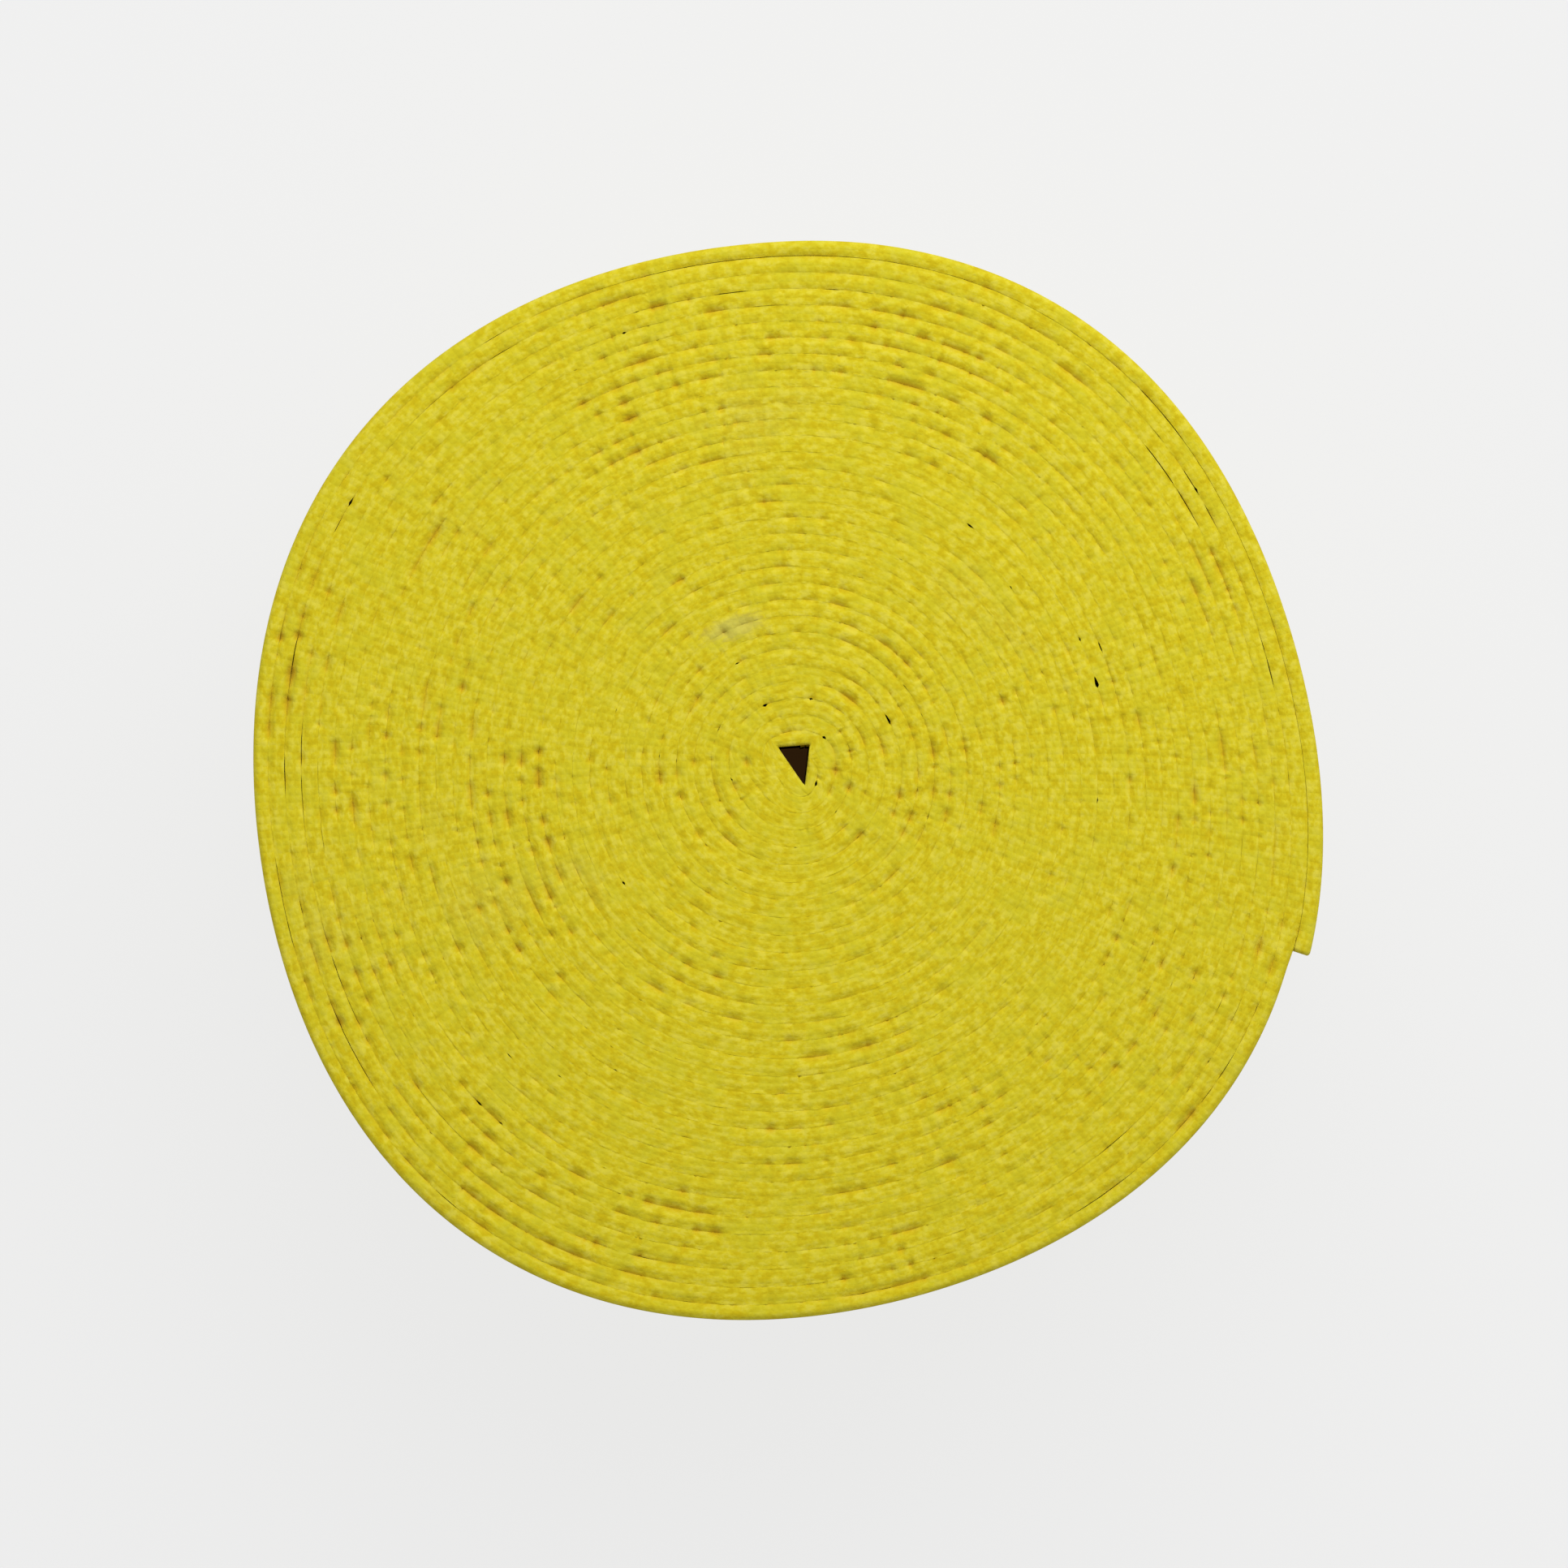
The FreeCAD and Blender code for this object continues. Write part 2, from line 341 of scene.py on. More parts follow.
# The grooves between turns: shallow and broken, deeper at the rim, with dashes and dimples along them
GROOVE_SEED = 5
GROOVE = 0.09 * MM
GROOVE_SHARPNESS = 1.6
REGION_SWELL = 5.0 * MM
REGION_CONTRAST = 0.8
BREAK_SWELLS = (1.1 * MM, 0.5 * MM)
BREAK_SHARE = 0.7
OUTER_GROOVE = 0.13 * MM
OUTER_TURNS = (25.5, 3)
OUTER_LEAST = 0.25
OUTER_SWELL = 7.0 * MM
OUTER_MEAN = 0.7
OUTER_SPREAD = 0.5
DASH = 0.30 * MM
DASH_SWELLS = (0.55 * MM, 2.6 * MM)
DASH_RUNS = 0.35
DASH_SHARPNESS = 1.5
DASH_LEAST = 0.35
DIMPLE = 0.24 * MM
DIMPLE_SWELL = 0.28 * MM
DIMPLE_THRESHOLD = 0.65
DIMPLE_LEAST = 0.4

# Lumps of yarn over the fold: a coarse one in each of its bands, and a fine one along each line of points
LUMP_DEPTH = 0.062 * MM
LUMP_SEED = 20
YARN_SEED = 30
LUMP_BANDS = 3
LUMP_SWELL = 0.38 * MM
YARN_SWELL = 0.30 * MM
LUMP_SHARE = 0.6

# How round the edge of a bare face and the tip are, and the seam along the lower edge
RIM_DROP = 0.30 * MM
END_ROUND = 0.30 * MM
END_PINCH = 0.6
END_RINGS = np.array([0.75, 0.5, 0.3, 0.15, 0.05, 0.01])
SEAM_DEPTH = 0.12 * MM
SEAM_WIDTH = 0.12


def level(angle, seed):
    """How far an edge lies below the highest one."""
    length = winding.length_at(angle)
    return SAG * (1 + two_waves(length, SAG_SHARE, (seed, SAG_SWELLS[0]), (seed + 1, SAG_SWELLS[1])))


def open_side(angle):
    """1 where no turn lies against the belt's face at that angle: outside the roll and in the hole."""
    in_hole = np.where(angle < winding.angle_after(-INNER_SPARE), 1, 0)
    return np.maximum(bare(angle), in_hole)


def groove(angle, seed):
    """How deep the groove is between the belt at that angle and the next turn out: shallow, with short
    deeper dashes and dimples where the yarns of the two folds leave a hollow."""
    region_seed, dash_seed, run_seed, outer_seed, break_seed, fray_seed, dimple_seed = range(seed, seed + 7)
    length = winding.length_at(angle)
    spot = winding.place(angle, winding.radius(angle))
    region = smooth(0.5 + REGION_CONTRAST * patch(region_seed, spot, REGION_SWELL))
    breaks = (break_seed, BREAK_SWELLS[0]), (fray_seed, BREAK_SWELLS[1])
    broken = smooth(0.5 + two_waves(length, BREAK_SHARE, *breaks))
    depth = GROOVE * region * broken
    outer = onset(angle / TURN, *OUTER_TURNS) * at_least(OUTER_LEAST, broken)
    outer *= OUTER_MEAN + OUTER_SPREAD * wave(outer_seed, length, OUTER_SWELL)
    depth += OUTER_GROOVE * outer
    dashes = wave(dash_seed, length, DASH_SWELLS[0]) + DASH_RUNS * wave(run_seed, length, DASH_SWELLS[1])
    depth += DASH * np.maximum(dashes, 0) ** DASH_SHARPNESS * at_least(DASH_LEAST, region)
    dimples = above(wave(dimple_seed, length, DIMPLE_SWELL), DIMPLE_THRESHOLD)
    depth += DIMPLE * dimples * at_least(DIMPLE_LEAST, region)
    return np.maximum(depth, 0) * (1 - open_side(angle))


def edge(angle, points, seed):
    """The points over one folded edge, with a row per angle: across from 0, inner, to 1, outer, the drop
    from the highest edge, and how much of that drop is the hollow between this turn and the next."""
    swing = np.linspace(0, math.pi, points)
    across = 0.5 - 0.5 * np.cos(swing)
    own = level(angle, seed)
    step_in = (level(angle - TURN, seed) - own) / 2 * (1 - open_side(angle - TURN))
    step_out = (level(angle + TURN, seed) - own) / 2 * (1 - open_side(angle))
    inner = groove(angle - TURN, seed + GROOVE_SEED) + step_in
    outer = groove(angle, seed + GROOVE_SEED) + step_out
    near_inner = across < 0.5
    dip = np.where(near_inner, inner[:, None], outer[:, None]) * np.abs(np.cos(swing)) ** GROOVE_SHARPNESS
    rim = np.where(near_inner, open_side(angle - TURN)[:, None], open_side(angle)[:, None])
    drop = own[:, None] + dip + RIM_DROP * rim * (1 - np.sin(swing))
    length = winding.length_at(angle)
    for j in range(points):
        band = (seed + LUMP_SEED + j * LUMP_BANDS // points, LUMP_SWELL)
        lumps = two_waves(length, LUMP_SHARE, band, (seed + YARN_SEED + j, YARN_SWELL))
        drop[:, j] += LUMP_DEPTH * (0.5 + 0.5 * lumps)
    return np.broadcast_to(across, drop.shape), drop, dip


# The furrows that the stitching pulls in the faces, and the heights of a face's points from a row
FURROW_DEPTH = 0.19 * MM
FURROW_WIDTH = 0.9 * MM
FURROW_LEAST = 0.60
FURROW_SHARPNESS = 4
END_FURROW = 0.8
ROW_POINTS = np.array([-1.7, -1.0, -0.5, 0, 0.5, 1.0, 1.7]) * MM


def furrow(length, height):
    """How deep the stitching pulls in the cloth at each length and height: deepest at the needle holes."""
    pull = at_least(FURROW_LEAST, np.abs(np.cos(math.pi * length / STITCH)) ** FURROW_SHARPNESS)
    rows = np.exp(-(((height[..., None] - ROWS) / FURROW_WIDTH) ** 2)).sum(-1)
    end = np.exp(-(((BELT_LENGTH - BAR_INSET - length) / FURROW_WIDTH) ** 2))
    return FURROW_DEPTH * np.maximum(pull[:, None] * rows, END_FURROW * end[:, None])


def face_heights():
    """The heights at which a dressed face has points: close together at each row of stitches."""
    return (ROWS[:, None] + ROW_POINTS).ravel()


def section(length, dressed):
    """The points round the belt at each length, going over the upper edge, down the outer face, under the
    lower edge and up the inner face, and how deep each lies in the hollow between two turns. dressed is
    which faces show their stitching: "", "outer" or "both"."""
    angle = winding.angle_after(length)
    inner, outer = faces(angle)
    to_end = BELT_LENGTH - length
    curl = np.clip(1 - to_end / END_ROUND, 0, 1)
    inset = END_ROUND * (1 - np.sqrt(1 - curl**2))
    inner, outer = inner + inset * END_PINCH, outer - inset * END_PINCH
    upper, drop, upper_hollow = edge(angle, UPPER_POINTS, UPPER_SEED)
    lower, rise, lower_hollow = edge(angle, LOWER_POINTS, LOWER_SEED)
    rise = rise + SEAM_DEPTH * np.exp(-(((lower - 0.5) / SEAM_WIDTH) ** 2))
    heights = face_heights()
    wall = np.broadcast_to(heights, (len(length), len(heights)))
    pulled = furrow(length, wall) / (outer - inner)[:, None]
    nothing = np.zeros((len(length), 0))
    outer_side = (1 - pulled[:, ::-1], wall[:, ::-1]) if dressed else (nothing, nothing)
    inner_side = (pulled, wall) if dressed == "both" else (nothing, nothing)
    across = np.concatenate([upper, outer_side[0], lower[:, ::-1], inner_side[0]], 1)
    top = BELT_WIDTH - drop - inset[:, None]
    foot = rise[:, ::-1] + inset[:, None]
    height = np.concatenate([top, outer_side[1], foot, inner_side[1]], 1)
    radius = inner[:, None] * (1 - across) + outer[:, None] * across
    plane = winding.place(angle[:, None], radius)
    level_face = (0 * outer_side[1], 0 * inner_side[1])
    hollow = np.concatenate([upper_hollow, level_face[0], lower_hollow[:, ::-1], level_face[1]], 1)
    return np.concatenate([plane, height[..., None]], -1), hollow


def make_mesh(name, points, polygons, sharp_rings=()):
    """An object from numpy points and polygons, shaded smooth, with sharp edges round the given points."""
    mesh = bpy.data.meshes.new(name)
    mesh.from_pydata(points, [], polygons)
    mesh.shade_smooth()
    if len(sharp_rings):
        ends = np.zeros(len(mesh.edges) * 2, int)
        mesh.edges.foreach_get("vertices", ends)
        ends = ends.reshape(-1, 2)
        sharp = np.zeros(len(ends), bool)
        for ring in sharp_rings:
            sharp |= np.isin(ends, ring).all(1)
        mesh.attributes.new("sharp_edge", "BOOLEAN", "EDGE").data.foreach_set("value", sharp)
    piece = bpy.data.objects.new(name, mesh)
    bpy.context.scene.collection.objects.link(piece)
    return piece


def tube_polygons(rings, size, start=0):
    """The quads between rings of points and the two end faces."""
    i = np.arange(rings - 1)[:, None] * size + start
    j = np.arange(size)[None, :]
    k = (j + 1) % size
    quads = np.stack([i + j, i + size + j, i + size + k, i + k], -1).reshape(-1, 4)
    first = list(range(start, start + size))
    last = list(range(start + (rings - 1) * size, start + rings * size))[::-1]
    return quads.tolist() + [first, last]


def set_cloth_map(piece, values):
    """Stores each point's place on the cloth: its length along the belt, its way round it, and how deep
    it lies in the hollow between two turns."""
    layer = piece.data.attributes.new("cloth", "FLOAT_VECTOR", "POINT")
    layer.data.foreach_set("vector", np.asarray(values, np.float32).ravel())


STRIP_MAP_START = (0.01, 0.01)
STRIP_MAP_SIZE = (0.98, 0.96)
ROW_MAP_START = 0.04
DISC_MAP_RADIUS = 0.008
FIRST_DISC_MAP = (0.3, 0.985)
LAST_DISC_MAP = (0.7, 0.985)


def lay_out(piece, rings, size):
    """A map for baking: the strip cut into rows of equal length, one above another, then its two ends as
    small discs along the top."""
    rows = max(1, round(math.sqrt((rings - 1) / size)))
    per_row = math.ceil((rings - 1) / rows)
    row, place = np.divmod(np.arange(rings - 1)[:, None], per_row)
    j = np.arange(size)[None, :]
    u = np.stack([place, place + 1, place + 1, place], -1) / per_row
    up = np.stack([j, j, j + 1, j + 1], -1) / size
    v = (row[..., None] + ROW_MAP_START + (1 - 2 * ROW_MAP_START) * up) / rows
    strip = np.stack(np.broadcast_arrays(u, v), -1) * STRIP_MAP_SIZE + STRIP_MAP_START
    turn = TURN * np.arange(size) / size
    disc = np.stack([np.cos(turn), np.sin(turn)], -1) * DISC_MAP_RADIUS
    corners = [strip.reshape(-1, 2), disc + FIRST_DISC_MAP, disc[::-1] + LAST_DISC_MAP]
    corners = np.concatenate(corners)
    layer = piece.data.uv_layers.new(name="OFBake")
    layer.uv.foreach_set("vector", corners.astype(np.float32).ravel())


def belt_stretch(name, start, end, step, dressed=""):
    """A closed piece of the belt from one length to another."""
    count = max(2, math.ceil((end - start) / step))
    length = np.linspace(start, end, count + 1)
    if end == BELT_LENGTH:
        length = np.concatenate([length[length < end - END_ROUND], end - END_ROUND * END_RINGS, [end]])
    rings, hollow = section(length, dressed)
    size = rings.shape[1]
    polygons = tube_polygons(len(length), size)
    numbers = np.arange(len(length) * size).reshape(-1, size)
    lower_first = size - LOWER_POINTS if not dressed else UPPER_POINTS + len(face_heights())
    folds = [0, UPPER_POINTS - 1, lower_first, lower_first + LOWER_POINTS - 1]
    sharp = [numbers[0], numbers[-1], *(numbers[:, fold] for fold in folds)]
    piece = make_mesh(name, rings.reshape(-1, 3), polygons, sharp)
    lay_out(piece, len(length), size)
    round_way = np.linalg.norm(np.diff(rings, axis=1, prepend=rings[:, :1]), axis=2).cumsum(1)
    cloth = np.stack([np.broadcast_to(length[:, None], round_way.shape), round_way, hollow], -1)
    set_cloth_map(piece, cloth)
    return piece


# --- stitches --------------------------------------------------------------------------------------

STITCH_RINGS = 8
STITCH_SIDES = 8
STITCH_FLATNESS = 0.45


def stitch_mesh(name, length, height, outer):
    """Short threads that dip into the cloth at both ends. length and height are of their middle lines: a
    row per thread, with STITCH_RINGS places along it. outer is which face they lie on."""
    share = np.linspace(0, 1, STITCH_RINGS)
    round_way = np.linspace(0, TURN, STITCH_SIDES, endpoint=False)
    arch = np.sin(math.pi * share) ** STITCH_FLATNESS
    upright = bool(np.ptp(height[0]) > np.ptp(length[0]))
    sideways = THREAD_WIDTH / 2 * np.cos(round_way)
    lift = THREAD_HEIGHT / 2 * np.sin(round_way) - THREAD_DIP * (1 - arch[:, None])
    at_length = length[..., None] + sideways * upright
    at_height = height[..., None] + sideways * (not upright)
    angle = winding.angle_after(at_length)
    inner_face, outer_face = faces(angle)
    radius = outer_face - THREAD_SUNK + lift if outer else inner_face + THREAD_SUNK - lift
    plane = winding.place(angle, radius)
    points = np.concatenate([plane, at_height[..., None]], -1).reshape(-1, 3)
    polygons = []
    for number in range(len(length)):
        start = number * STITCH_RINGS * STITCH_SIDES
        polygons += tube_polygons(STITCH_RINGS, STITCH_SIDES, start)
    if outer == upright:  # the rings run the other way round there
        polygons = [polygon[::-1] for polygon in polygons]
    piece = make_mesh(name, points, polygons)
    way = np.cumsum(np.hypot(np.gradient(length, axis=1), np.gradient(height, axis=1)), axis=1)
    way = np.broadcast_to(way[..., None], at_length.shape)
    turned = np.broadcast_to(round_way, at_length.shape)
    set_cloth_map(piece, np.stack([way, turned, 0 * way], -1))
    return piece


def row_stitches(start, end):
    """The middle lines of the lockstitches of every row whose middles lie between two lengths."""
    first, last = math.ceil(start / STITCH - 0.5), math.ceil(end / STITCH - 0.5)
    begins = np.arange(first, last) * STITCH + STITCH_HOLE / 2
    along = np.linspace(0, STITCH - STITCH_HOLE, STITCH_RINGS)
    length = np.tile(begins[:, None] + along, (ROW_COUNT, 1))
    height = np.repeat(ROWS, len(begins))[:, None] + 0 * along
    return length, height


def bar_stitches():
    """The middle lines of the stitches of the bar across the belt near its tip."""
    begins = ROWS[0] + STITCH * np.arange(int((ROWS[-1] - ROWS[0]) / STITCH)) + STITCH_HOLE / 2
    along = np.linspace(0, STITCH - STITCH_HOLE, STITCH_RINGS)
    height = begins[:, None] + along
    return np.full_like(height, BELT_LENGTH - BAR_INSET), height


# --- materials -------------------------------------------------------------------------------------


class Shader:
    """A material's node tree, built a node at a time."""

    def __init__(self, name):
        self.material = bpy.data.materials.new(name)
        self.material.use_nodes = True
        self.tree = self.material.node_tree
        self.surface = self.tree.nodes["Principled BSDF"]

    def add(self, kind, inputs=(), **settings):
        """A node with its settings, and its inputs set to values or joined to sockets."""
        node = self.tree.nodes.new(kind)
        for name, value in settings.items():
            setattr(node, name, value)
        for name, value in dict(inputs).items():
            self.set(node, name, value)
        return node

    def set(self, node, name, value):
        if isinstance(value, bpy.types.NodeSocket):
            self.tree.links.new(value, node.inputs[name])
        else:
            node.inputs[name].default_value = value

    def maths(self, operation, a, b=0.0, c=0.0):
        return self.add("ShaderNodeMath", {0: a, 1: b, 2: c}, operation=operation).outputs[0]

    def noise(self, where, scale, detail=3.0, roughness=0.55):
        inputs = {"Vector": where, "Scale": scale, "Detail": detail, "Roughness": roughness}
        return self.add("ShaderNodeTexNoise", inputs).outputs["Fac"]

    def patches(self, value, ends):
        """Goes from black to white as the value goes from one end to the other."""
        return self.ramp(value, (ends[0], BLACK), (ends[1], WHITE))

    def ramp(self, value, *stops):
        """A colour for each value: stops are (place, colour)."""
        node = self.add("ShaderNodeValToRGB", {"Fac": value})
        while len(node.color_ramp.elements) < len(stops):
            node.color_ramp.elements.new(0.5)
        for element, (place, colour) in zip(node.color_ramp.elements, stops):
            element.position = place
            element.color = (*colour, 1)
        return node.outputs["Color"]

    def mix(self, share, a, b, blend="MIX"):
        node = self.add("ShaderNodeMix", data_type="RGBA", blend_type=blend)
        for name, value in ((0, share), (6, a), (7, b)):
            self.set(node, name, value)
        return node.outputs[2]

    def bump(self, height, relief, under=None):
        """The normal of a surface with that relief, which can lie over another one."""
        inputs = {"Height": height, "Distance": relief[0], "Strength": relief[1]}
        if under is not None:
            inputs["Normal"] = under
        return self.add("ShaderNodeBump", inputs).outputs["Normal"]


YELLOW_DEEP = (0.585, 0.455, 0.002)
YELLOW_MID = (0.650, 0.545, 0.0115)
YELLOW_PALE = (0.702, 0.607, 0.045)
YELLOW_OLIVE = (0.590, 0.535, 0.016)
# Painted shade: a darker, more orange yellow for the hollows between turns
YELLOW_HOLLOW_SHADE = (0.600, 0.415, 0.004)
SOIL = (0.420, 0.400, 0.120)
SMUDGE = (0.50, 0.47, 0.13)
SHEEN_TINT = (1.0, 0.9, 0.35)
BLACK = (0, 0, 0)
WHITE = (1, 1, 1)

# Each noise is its scale per metre, its detail and its roughness. A ramp's ends are a pair of noise values
FIBRE_STRETCH = (0.6, 1, 1)
FIBRES = (9000, 4, 0.6)
STREAKS = (2600, 2)
DYE = (1500, 3)
FIBRE_SHARE, STREAK_SHARE, DYE_SHARE = 0.15, 0.5, 0.35
DEEP_TONE, MID_TONE, PALE_TONE = 0.41, 0.5, 0.59
OLIVE_PATCHES = (620, 2)
OLIVE_ENDS = (0.48, 0.66)
OLIVE_SHARE = 0.5
SOIL_PATCHES = (75, 4, 0.65)
SOIL_ENDS = (0.58, 0.80)
SOIL_SHARE = 0.22
# Painted shade in the hollows between turns: the depths over which it comes in, and its strongest share
HOLLOW_SHADE_DEPTHS = (0.05 * MM, 0.32 * MM)
HOLLOW_SHADE_SHARE = 0.85
SMUDGE_PLACE = (-3.2 * MM, 9.0 * MM, BELT_WIDTH)
SMUDGE_SIZE = (3.6 * MM, 1.4 * MM, 2 * MM)
SMUDGE_TURN = math.radians(18)
SMUDGE_STREAKS = 0.8
SMUDGE_ENDS = (0.7, 1.0)
SMUDGE_SHARE = 0.45
CLOTH_ROUGHNESS = (0.82, 0.98)

# Each relief is how high it stands and its strength
WEAVE_PITCH = 0.42 * MM
WEAVE_RELIEF = (0.04 * MM, 0.5)
FIBRE_RELIEF = (0.04 * MM, 0.5)
PLY_PITCH = 0.5 * MM
PLY_RELIEF = (0.05 * MM, 0.8)
PLY_MID = 0.55
THREAD_FIBRES = (12000, 3)
THREAD_RELIEF = (0.02 * MM, 0.4)
CANVAS_DARK = (0.55, 0.52, 0.43)
CANVAS_LIGHT = (0.72, 0.69, 0.60)
CANVAS_GRAIN = (2500, 4, 0.6)
CANVAS_ENDS = (0.35, 0.7)
CANVAS_RELIEF = (0.04 * MM, 0.5)


def cotton():
    """Dyed plain-weave cotton: yarns, loose fibres, uneven dye, a little soiling, and painted shade, darker
    and more orange, deep in the hollows between turns.
    """
    s = Shader("yellow_cotton")
    where = s.add("ShaderNodeTexCoord").outputs["Object"]
    cloth = s.add("ShaderNodeAttribute", attribute_name="cloth").outputs["Vector"]
    parts = s.add("ShaderNodeSeparateXYZ", {0: cloth})
    warp = s.maths("SINE", s.maths("MULTIPLY", parts.outputs[0], math.pi / WEAVE_PITCH))
    weft = s.maths("SINE", s.maths("MULTIPLY", parts.outputs[1], math.pi / WEAVE_PITCH))
    weave = s.maths("ABSOLUTE", s.maths("MULTIPLY", warp, weft))
    stretch = {0: cloth, 1: FIBRE_STRETCH}
    stretched = s.add("ShaderNodeVectorMath", stretch, operation="MULTIPLY").outputs[0]
    fibres = s.noise(stretched, *FIBRES)
    streaks = s.noise(stretched, *STREAKS)
    dye = s.noise(where, *DYE)
    tone = s.maths("MULTIPLY_ADD", streaks, STREAK_SHARE, s.maths("MULTIPLY", fibres, FIBRE_SHARE))
    tone = s.maths("MULTIPLY_ADD", dye, DYE_SHARE, tone)
    colour = s.ramp(tone, (DEEP_TONE, YELLOW_DEEP), (MID_TONE, YELLOW_MID), (PALE_TONE, YELLOW_PALE))
    olive = s.patches(s.noise(where, *OLIVE_PATCHES), OLIVE_ENDS)
    colour = s.mix(s.maths("MULTIPLY", olive, OLIVE_SHARE), colour, (*YELLOW_OLIVE, 1))
    soil = s.patches(s.noise(where, *SOIL_PATCHES), SOIL_ENDS)
    colour = s.mix(s.maths("MULTIPLY", soil, SOIL_SHARE), colour, (*SOIL, 1))
    # Painted shade: the colour grows darker and more orange the deeper a point lies in the hollow between
    # two turns
    deep = {"Value": parts.outputs[2], "From Min": HOLLOW_SHADE_DEPTHS[0], "From Max": HOLLOW_SHADE_DEPTHS[1]}
    fold = s.add("ShaderNodeMapRange", deep).outputs[0]
    colour = s.mix(s.maths("MULTIPLY", fold, HOLLOW_SHADE_SHARE), colour, (*YELLOW_HOLLOW_SHADE, 1))
    oval = {"Location": SMUDGE_PLACE, "Rotation": (0, 0, SMUDGE_TURN), "Scale": SMUDGE_SIZE}
    apart = s.add("ShaderNodeMapping", {"Vector": where, **oval}, vector_type="TEXTURE").outputs["Vector"]
    apart = s.add("ShaderNodeVectorMath", {0: apart}, operation="LENGTH").outputs["Value"]
    apart = s.maths("MULTIPLY_ADD", streaks, SMUDGE_STREAKS, apart)
    smear = s.ramp(apart, (SMUDGE_ENDS[0], WHITE), (SMUDGE_ENDS[1], BLACK))
    colour = s.mix(s.maths("MULTIPLY", smear, SMUDGE_SHARE), colour, (*SMUDGE, 1))
    normal = s.bump(fibres, FIBRE_RELIEF, s.bump(weave, WEAVE_RELIEF))
    rough = {"Value": fibres, "To Min": CLOTH_ROUGHNESS[0], "To Max": CLOTH_ROUGHNESS[1]}
    rough = s.add("ShaderNodeMapRange", rough).outputs[0]
    for name, value in (("Base Color", colour), ("Roughness", rough), ("Normal", normal)):
        s.set(s.surface, name, value)
    s.surface.inputs["Specular IOR Level"].default_value = 0.2
    s.surface.inputs["Sheen Weight"].default_value = 0.12
    s.surface.inputs["Sheen Roughness"].default_value = 0.6
    s.surface.inputs["Sheen Tint"].default_value = (*SHEEN_TINT, 1)
    return s.material


def sewing_thread():
    """Twisted sewing thread, a little glossier than the cloth, with painted shade between its plies. Its
    map is along and round the thread.
    """
    s = Shader("yellow_thread")
    cloth = s.add("ShaderNodeAttribute", attribute_name="cloth").outputs["Vector"]
    parts = s.add("ShaderNodeSeparateXYZ", {0: cloth})
    plies = s.maths("MULTIPLY_ADD", parts.outputs[0], TURN / PLY_PITCH, parts.outputs[1])
    twist = s.maths("ABSOLUTE", s.maths("SINE", plies))
    fibres = s.noise(cloth, *THREAD_FIBRES)
    # Painted shade: the thread is darker in the grooves between its plies and paler on their crowns
    colour = s.ramp(twist, (0.0, YELLOW_DEEP), (PLY_MID, YELLOW_MID), (1.0, YELLOW_PALE))
    normal = s.bump(fibres, THREAD_RELIEF, s.bump(twist, PLY_RELIEF))
    for name, value in (("Base Color", colour), ("Normal", normal)):
        s.set(s.surface, name, value)
    s.surface.inputs["Roughness"].default_value = 0.6
    s.surface.inputs["Specular IOR Level"].default_value = 0.2
    return s.material


def core_canvas():
    """Undyed cotton canvas, inside the belt."""
    s = Shader("core_canvas")
    where = s.add("ShaderNodeTexCoord").outputs["Object"]
    grain = s.noise(where, *CANVAS_GRAIN)
    colour = s.ramp(grain, (CANVAS_ENDS[0], CANVAS_DARK), (CANVAS_ENDS[1], CANVAS_LIGHT))
    s.set(s.surface, "Base Color", colour)
    s.set(s.surface, "Normal", s.bump(grain, CANVAS_RELIEF))
    s.surface.inputs["Roughness"].default_value = 0.9
    return s.material


FLOOR_SHADE = (0.09, 0.09, 0.09)
FLOOR_GLOW = (0.785, 0.785, 0.785)
# Painted shade: the floor glows dark brown under the roll, where the hole at its middle shows only shade
PAINTED_SHADE_UNDER_ROLL = (0.022, 0.010, 0.003)
PAINTED_SHADE_REACH = 15 * MM
PAINTED_SHADE_ENDS = (0.49, 0.51)


def paper():
    """The pale floor: a lit panel, so that shadows on it are faint, and painted dark brown where the roll
    covers it, as painted shade seen down the roll's hole.
    """
    s = Shader("pale_floor")
    where = s.add("ShaderNodeTexCoord").outputs["Object"]
    away = s.add("ShaderNodeVectorMath", {0: where}, operation="LENGTH").outputs["Value"]
    share = s.maths("DIVIDE", away, 2 * PAINTED_SHADE_REACH)
    glow_and_painted_shade = s.ramp(share, (PAINTED_SHADE_ENDS[0], PAINTED_SHADE_UNDER_ROLL), (PAINTED_SHADE_ENDS[1], FLOOR_GLOW))
    s.set(s.surface, "Emission Color", glow_and_painted_shade)
    s.surface.inputs["Base Color"].default_value = (*FLOOR_SHADE, 1)
    s.surface.inputs["Roughness"].default_value = 1.0
    s.surface.inputs["Specular IOR Level"].default_value = 0.0
    s.surface.inputs["Emission Strength"].default_value = 1.0
    return s.material


# --- the belt --------------------------------------------------------------------------------------

LINKS = len(frame["joints"])


def dress(piece, material, nodes):
    """Gives a piece its material, and hides the frame's parts that it stands for."""
    piece.data.materials.append(material)
    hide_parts(*nodes)


def dressed_start():
    """The length from which the belt's outer face shows: a turn and a link before the tail."""
    return winding.length_at(winding.tail_angle - TURN - LINK_ANGLE)


def tail_cuts():
    """The lengths at which the tail's pieces meet: halfway along each link but the last, and at the tip."""
    angles = winding.tail_angle + (np.arange(LINKS) - 0.5) * LINK_ANGLE
    return [*winding.length_at(angles), BELT_LENGTH]


def follow_tail(piece, place):
    """Bakes the place of the tail's piece at hinge number place, from 0, into its points, or rides the
    piece after the last hinge on the last link.
    """
    if place == LINKS:
        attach(piece, frame["joints"][-1]["child"])
        return
    angle = winding.tail_angle + place * LINK_ANGLE
    bend = winding.end_radius * LINK_ANGLE if place else FIRST_BEND
    reach = winding.along(angle) * bend / 2
    hinge = winding.hinge(place)
    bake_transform(piece)


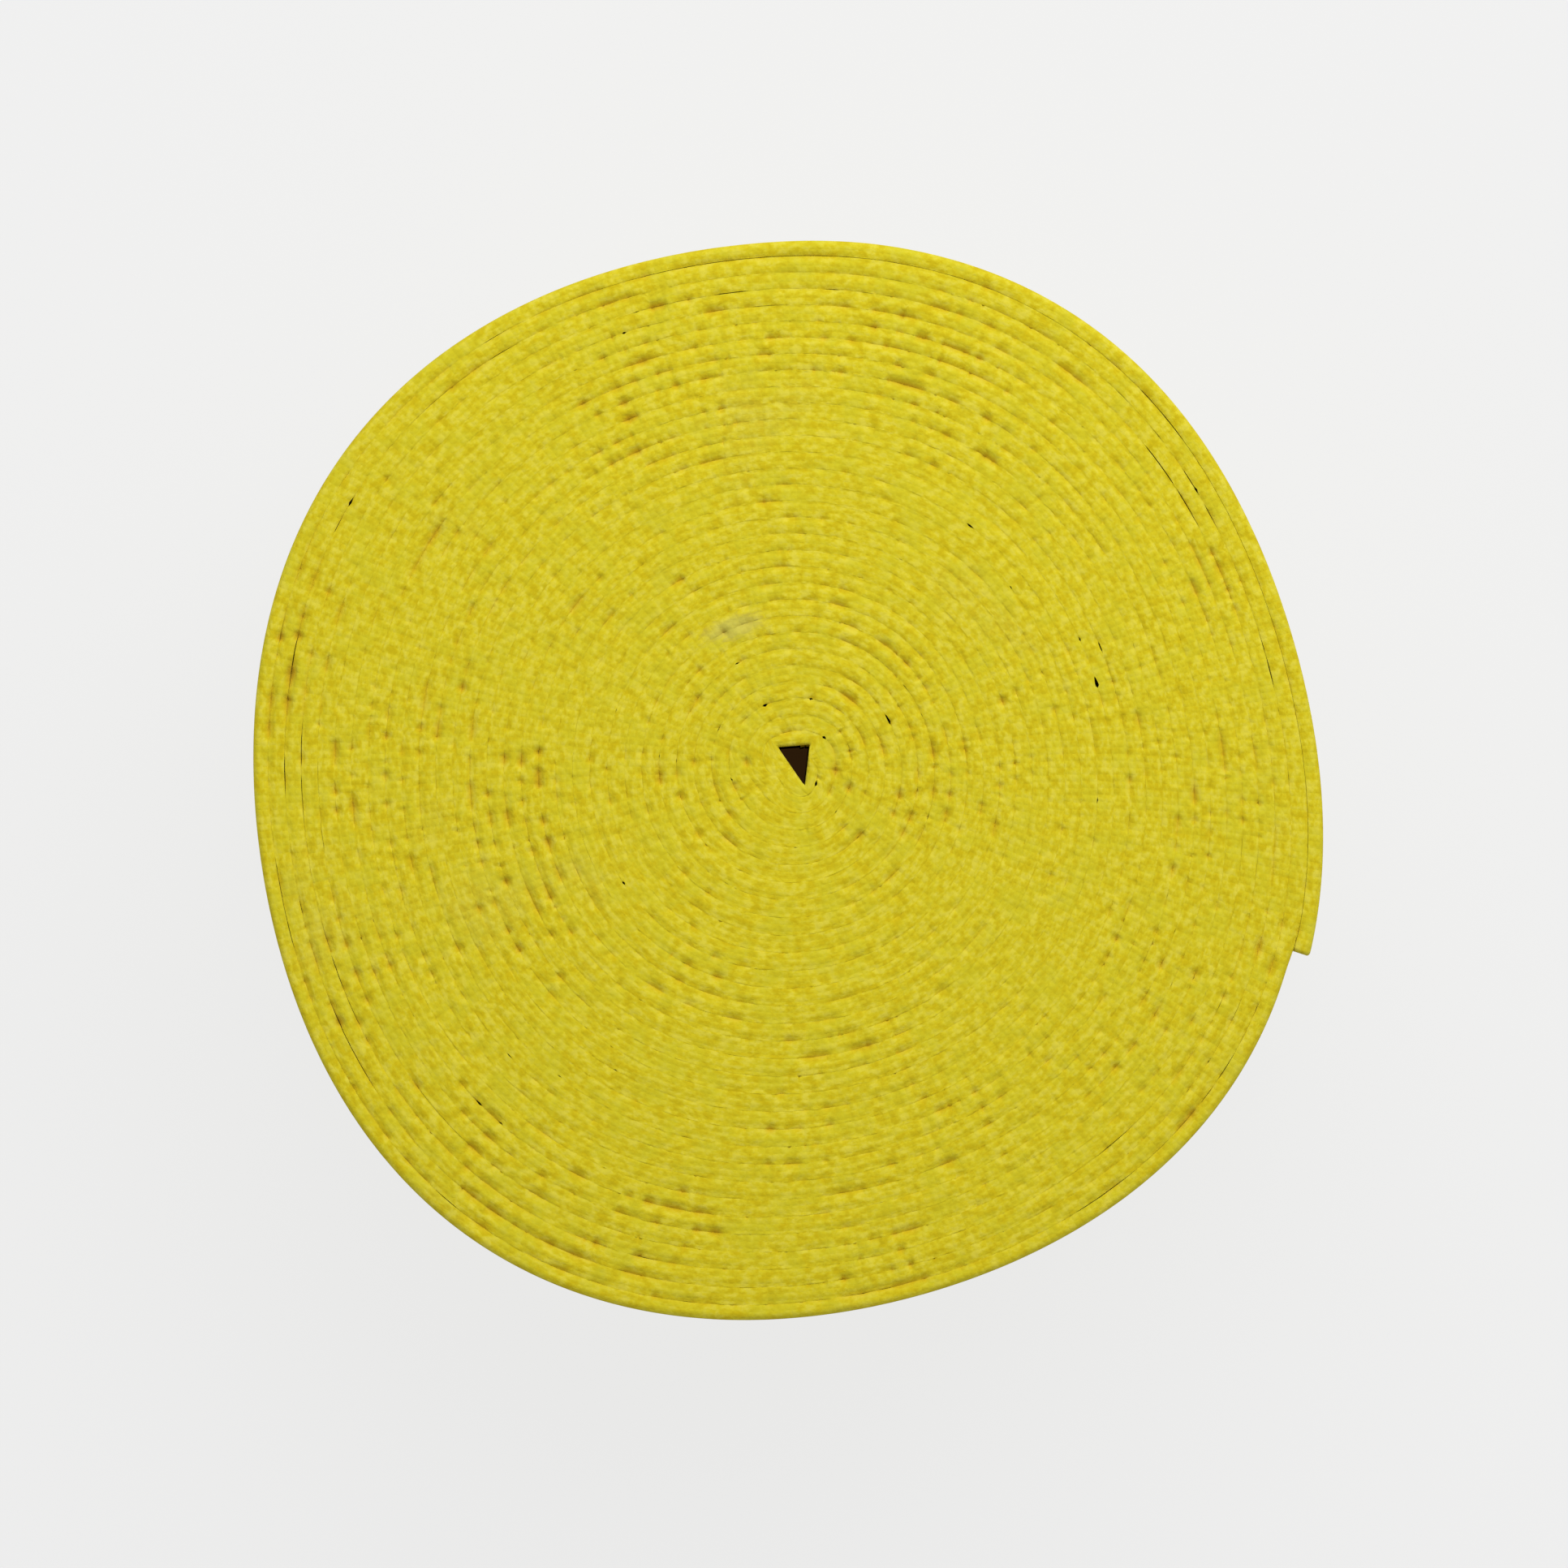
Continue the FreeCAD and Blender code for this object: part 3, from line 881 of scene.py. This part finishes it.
def cover(material):
    """The cover cloth of the roll in pieces, then the tail's, a piece for each link."""
    cuts = tail_cuts()
    innermost_end = winding.length_at(INNERMOST_TURNS * TURN)
    spans = [("belt_innermost_turns", -INNER_SPARE, innermost_end, INNERMOST_STEP, "")]
    lengths = np.linspace(innermost_end, dressed_start(), ROLL_PIECES + 1)
    for place in range(ROLL_PIECES):
        spans.append((f"belt_turns_{place + 1}", lengths[place], lengths[place + 1], EDGE_STEP, ""))
    spans.append(("belt_outer_turn", dressed_start(), cuts[0], FACE_STEP, "outer"))
    for name, start, end, step, dressed in spans:
        piece = belt_stretch(name, start, end, step, dressed)
        dress(piece, material, ["roll_cover"])
        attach(piece, "roll")
    for place in range(LINKS):
        piece = belt_stretch(f"belt_tail_{place + 1}", cuts[place], cuts[place + 1], FACE_STEP, "both")
        dress(piece, material, [f"tail_cover_{place + 1}"])
        follow_tail(piece, place)


def threads(material):
    """The lockstitches that show: outside on the outer turn, and on both faces of the tail."""
    cuts = tail_cuts()
    rows = [f"needle_thread_row_{number + 1}" for number in range(ROW_COUNT)]
    piece = stitch_mesh("needle_stitches_roll", *row_stitches(dressed_start(), cuts[0]), True)
    dress(piece, material, rows)
    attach(piece, "roll")
    for place in range(LINKS):
        end = min(cuts[place + 1], BELT_LENGTH - BAR_INSET + STITCH)
        for side, outer in (("needle", True), ("bobbin", False)):
            piece = stitch_mesh(f"{side}_stitches_tail_{place + 1}", *row_stitches(cuts[place], end), outer)
            dress(piece, material, [f"tail_{side}_threads_{place + 1}"])
            follow_tail(piece, place)
    for side, outer in (("needle", True), ("bobbin", False)):
        piece = stitch_mesh(f"end_bar_{side}_stitches", *bar_stitches(), outer)
        dress(piece, material, ["outer_end_bar_stitch"])
        follow_tail(piece, LINKS)


def hidden_nodes(canvas, thread):
    """The core, and the threads inside the roll, stay as the frame has them. They get their materials."""
    for name, node in frame["nodes"].items():
        kind = canvas if "core" in name else thread
        if "cover" not in name:
            node.data.materials.clear()
            node.data.materials.append(kind)


# --- stage -----------------------------------------------------------------------------------------

FLOOR_SIZE = 3
NEAREST, FARTHEST = 0.01, 10
ROLL_SHARE = 0.6836
EYE_HEIGHT = 0.60
SENSOR = 36.0
VIEW_SHIFT = (-0.0026, -0.0023)
WORLD_LIGHT = 0.31
SOFTBOX_PLACE = (0.053, 0.180, 0.285)
SOFTBOX_SIZE = 0.32
SOFTBOX_POWER = 1.08


def stage():
    """A pale floor, soft light from all round with a little more from the far right, and the camera."""
    bpy.ops.mesh.primitive_plane_add(size=FLOOR_SIZE)
    floor = bpy.context.object
    floor.name = "floor"
    floor.data.materials.append(paper())

    world = bpy.data.worlds.new("studio")
    bpy.context.scene.world = world
    world.use_nodes = True
    world.node_tree.nodes["Background"].inputs[0].default_value = (1.0, 1.0, 1.0, 1)
    world.node_tree.nodes["Background"].inputs[1].default_value = WORLD_LIGHT
    add_light("softbox", SOFTBOX_PLACE, SOFTBOX_SIZE, SOFTBOX_POWER)

    camera = bpy.data.objects.new("camera", bpy.data.cameras.new("camera"))
    bpy.context.scene.collection.objects.link(camera)
    bpy.context.scene.camera = camera
    frame_width = (cad_high.x - cad_low.x) / ROLL_SHARE
    camera.location = (
        (cad_low.x + cad_high.x) / 2 + VIEW_SHIFT[0] * frame_width,
        (cad_low.y + cad_high.y) / 2 + VIEW_SHIFT[1] * frame_width,
        cad_high.z + EYE_HEIGHT,
    )
    camera.data.sensor_width = SENSOR
    camera.data.lens = SENSOR * EYE_HEIGHT / frame_width
    camera.data.clip_start, camera.data.clip_end = NEAREST, FARTHEST
    bpy.context.scene.view_settings.view_transform = "Standard"


def add_light(name, place, size, power):
    light = bpy.data.lights.new(name, "AREA")
    light.size = size
    light.energy = power
    lamp = bpy.data.objects.new(name, light)
    bpy.context.scene.collection.objects.link(lamp)
    lamp.location = place
    towards = -lamp.location
    lamp.rotation_mode = "QUATERNION"
    lamp.rotation_quaternion = towards.to_track_quat("-Z", "Y")


yellow_thread = sewing_thread()
cover(cotton())
threads(yellow_thread)
hidden_nodes(core_canvas(), yellow_thread)
stage()
